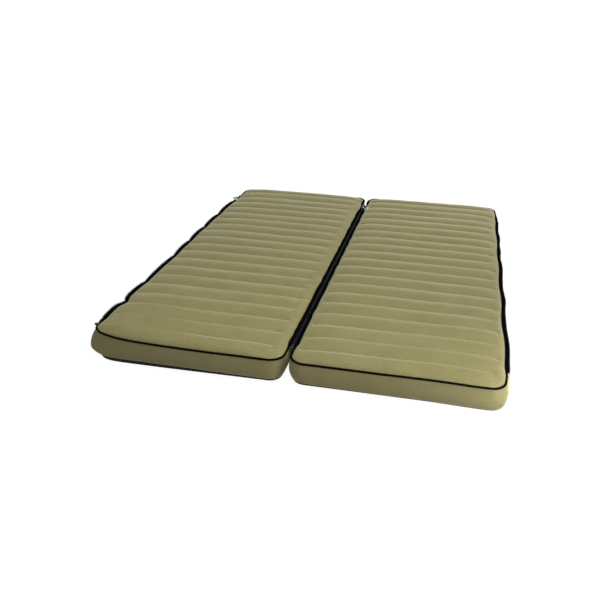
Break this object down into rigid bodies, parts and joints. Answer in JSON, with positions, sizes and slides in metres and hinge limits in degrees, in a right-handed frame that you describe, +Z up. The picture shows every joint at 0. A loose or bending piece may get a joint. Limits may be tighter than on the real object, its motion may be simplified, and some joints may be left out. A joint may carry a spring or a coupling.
{
  "type": "air mattress",
  "caption": "Twin air mattress: two channelled pads in zip-on covers, joined along their top seams by a zip, so that they fold face to face.",
  "frame": {"origin": "on the floor under the middle of the pair, on the line where the two pads are zipped together", "axes": "+X across the pads towards the right pad, +Y along the pads towards the head end with the valves, +Z up"},
  "size_m": [1.4336, 2.0104, 0.1038],
  "materials": {
    "top_cloth": "brushed olive woven cloth",
    "wall_cloth": "brushed olive woven cloth",
    "base_cloth": "black coated cloth",
    "piping_cloth": "black woven binding",
    "bladder_film": "welded film",
    "valve_plastic": "moulded",
    "flap_rubber": "moulded",
    "tape_cloth": "woven tape",
    "coil_nylon": "nylon coil",
    "slider_metal": "black enamel",
    "ribbon_cloth": "mint grosgrain"
  },
  "bodies": {
    "left_pad": {"left_top_panel": "top_cloth", "left_top_piping": "piping_cloth", "left_border": "wall_cloth", "left_base_panel": "base_cloth", "left_air_bladder": "bladder_film", "left_valve_body": "valve_plastic", "left_outer_tape": "tape_cloth", "left_outer_coil": "coil_nylon", "left_outer_stop": "slider_metal", "left_outer_box": "coil_nylon"},
    "zip_band": {"middle_left_tape": "tape_cloth", "middle_left_coil": "coil_nylon", "middle_left_stop": "slider_metal", "middle_left_pin": "coil_nylon", "middle_right_tape": "tape_cloth", "middle_right_coil": "coil_nylon", "middle_right_stop": "slider_metal", "middle_box": "coil_nylon"},
    "right_pad": {"right_top_panel": "top_cloth", "right_top_piping": "piping_cloth", "right_border": "wall_cloth", "right_base_panel": "base_cloth", "right_air_bladder": "bladder_film", "right_valve_body": "valve_plastic", "right_outer_tape": "tape_cloth", "right_outer_coil": "coil_nylon", "right_outer_stop": "slider_metal", "right_outer_pin": "coil_nylon"},
    "middle_pull": {"middle_slider": "slider_metal"},
    "middle_tab": {"middle_ribbon": "ribbon_cloth"},
    "left_pull": {"left_outer_slider": "slider_metal"},
    "left_tab": {"left_outer_ribbon": "ribbon_cloth"},
    "left_cap": {"left_valve_cap": "valve_plastic"},
    "left_flap": {"left_valve_flap": "flap_rubber"},
    "right_cap": {"right_valve_cap": "valve_plastic"},
    "right_flap": {"right_valve_flap": "flap_rubber"}
  },
  "joints": [
    {"name": "fold_left", "type": "hinge", "parent": "left_pad", "child": "zip_band", "pos_m": [-0.011, 0, 0.086], "axis": [0, -1, 0], "range_deg": [0, 81]},
    {"name": "fold_right", "type": "hinge", "parent": "zip_band", "child": "right_pad", "pos_m": [0.011, 0, 0.086], "axis": [0, -1, 0], "range_deg": [0, 90]},
    {"name": "middle_slide", "type": "slide", "parent": "zip_band", "child": "middle_pull", "axis": [0, 1, 0], "range_m": [-1.67, 0]},
    {"name": "middle_swing", "type": "hinge", "parent": "middle_pull", "child": "middle_tab", "pos_m": [0, 0.8, 0.0925], "axis": [0, -1, 0], "range_deg": [0, 86]},
    {"name": "left_slide", "type": "slide", "parent": "left_pad", "child": "left_pull", "axis": [0, 1, 0], "range_m": [-1.67, 0]},
    {"name": "left_swing", "type": "hinge", "parent": "left_pull", "child": "left_tab", "pos_m": [-0.712, 0.8, 0.0925], "axis": [0, -1, 0], "range_deg": [0, 160]},
    {"name": "left_cap_flip", "type": "hinge", "parent": "left_pad", "child": "left_cap", "pos_m": [-0.556, 1.00335, 0.06189], "axis": [1, 0, 0], "range_deg": [0, 150]},
    {"name": "left_flap_swing", "type": "hinge", "parent": "left_pad", "child": "left_flap", "pos_m": [-0.556, 0.97905, 0.0523], "axis": [-1, 0, 0], "range_deg": [0, 60], "stiffness_Nm_per_rad": 0.001},
    {"name": "right_cap_flip", "type": "hinge", "parent": "right_pad", "child": "right_cap", "pos_m": [0.556, 1.00335, 0.06189], "axis": [1, 0, 0], "range_deg": [0, 150]},
    {"name": "right_flap_swing", "type": "hinge", "parent": "right_pad", "child": "right_flap", "pos_m": [0.556, 0.97905, 0.0523], "axis": [-1, 0, 0], "range_deg": [0, 60], "stiffness_Nm_per_rad": 0.001}
  ],
  "couplings": [
    {"joint": "fold_right", "follows": "fold_left", "ratio": 1},
    {"joint": "middle_swing", "follows": "fold_left", "ratio": 0.952}
  ]
}
